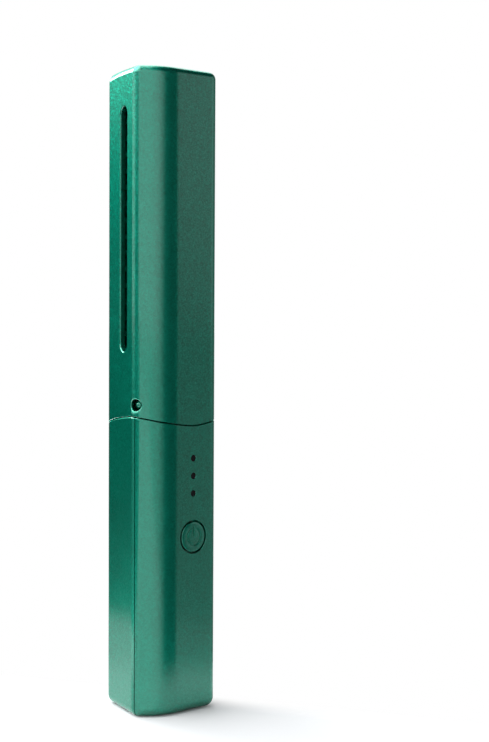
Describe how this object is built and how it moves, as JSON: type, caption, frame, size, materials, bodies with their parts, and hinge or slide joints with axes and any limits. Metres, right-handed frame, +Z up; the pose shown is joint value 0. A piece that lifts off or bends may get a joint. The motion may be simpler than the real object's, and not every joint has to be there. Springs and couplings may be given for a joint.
{
  "type": "heated hair comb",
  "caption": "Cordless heated straightening comb in green metallic lacquer, standing upright, with a slotted pull-off cap, power button and status lights.",
  "frame": {"origin": "centre of the foot, where the comb stands upright", "axes": "+Z up along the body, -Y out of the button side, -X out of the narrow face with the slot of the cap"},
  "size_m": [0.029, 0.0286, 0.2],
  "materials": {
    "green_lacquer": "metallic green lacquer with fine flake, satin clear coat",
    "heater_black": "black anodised, matt",
    "ceramic_white": "fired alumina",
    "mica_tan": "pressed mica sheet",
    "clamp_grey": "heat-resistant moulded plastic",
    "fuse_body": "ceramic fuse body",
    "sensor_blue": "epoxy bead",
    "lead_red": "silicone insulated wire",
    "lead_white": "glass-sleeved wire",
    "lead_black": "insulated wire",
    "light_smoke": "smoked light guide",
    "led_white": "chip lights",
    "board_green": "solder mask on glass laminate",
    "chip_black": "moulded chip and switch bodies",
    "plunger_grey": "moulded plastic",
    "inductor_grey": "pressed ferrite",
    "capacitor_tan": "ceramic chip capacitors",
    "steel": "plated steel",
    "wrap_blue": "shrink sleeve",
    "foam_grey": "foam pads"
  },
  "bodies": {
    "handle": {"front_shell": "green_lacquer", "rear_shell": "green_lacquer", "comb_shell": "green_lacquer", "spine_shell": "green_lacquer", "heater_bar": "heater_black", "ceramic_heater": "ceramic_white", "mica_sheet": "mica_tan", "heater_clamp": "clamp_grey", "thermal_fuse": "fuse_body", "thermistor": "sensor_blue", "heater_leads": "lead_red", "sensor_leads": "lead_white", "light_guide": "light_smoke", "status_leds": "led_white", "main_board": "board_green", "switch_body": "chip_black", "control_chip": "chip_black", "heater_transistor": "chip_black", "boost_inductor": "inductor_grey", "board_capacitors": "capacitor_tan", "board_screws": "steel", "battery_cell": "steel", "battery_wrap": "wrap_blue", "battery_tabs": "steel", "battery_leads": "lead_red", "battery_pads": "foam_grey", "charge_board": "board_green", "charge_chip": "chip_black", "usb_shell": "steel", "usb_tongue": "chip_black", "charge_leads": "lead_black"},
    "cap": {"cap": "green_lacquer"},
    "button": {"power_button": "green_lacquer"},
    "plunger": {"switch_plunger": "plunger_grey"},
    "left_catch": {"catch_left": "green_lacquer"},
    "right_catch": {"catch_right": "green_lacquer"}
  },
  "joints": [
    {"name": "cap_slide", "type": "slide", "parent": "handle", "child": "cap", "axis": [0, 0, 1], "range_m": [0, 0.118]},
    {"name": "button_press", "type": "slide", "parent": "handle", "child": "button", "axis": [-0.2351, 0.972, 0], "range_m": [0, 0.0004], "stiffness_N_per_m": 2500},
    {"name": "plunger_press", "type": "slide", "parent": "handle", "child": "plunger", "axis": [-0.2351, 0.972, 0], "range_m": [0, 0.0004]},
    {"name": "left_catch_press", "type": "slide", "parent": "handle", "child": "left_catch", "axis": [0.8406, 0.5417, 0], "range_m": [0, 0.0007], "stiffness_N_per_m": 3000},
    {"name": "right_catch_press", "type": "slide", "parent": "handle", "child": "right_catch", "axis": [-0.8406, -0.5417, 0], "range_m": [0, 0.0007], "stiffness_N_per_m": 3000}
  ],
  "couplings": [
    {"joint": "plunger_press", "follows": "button_press", "ratio": 1}
  ]
}
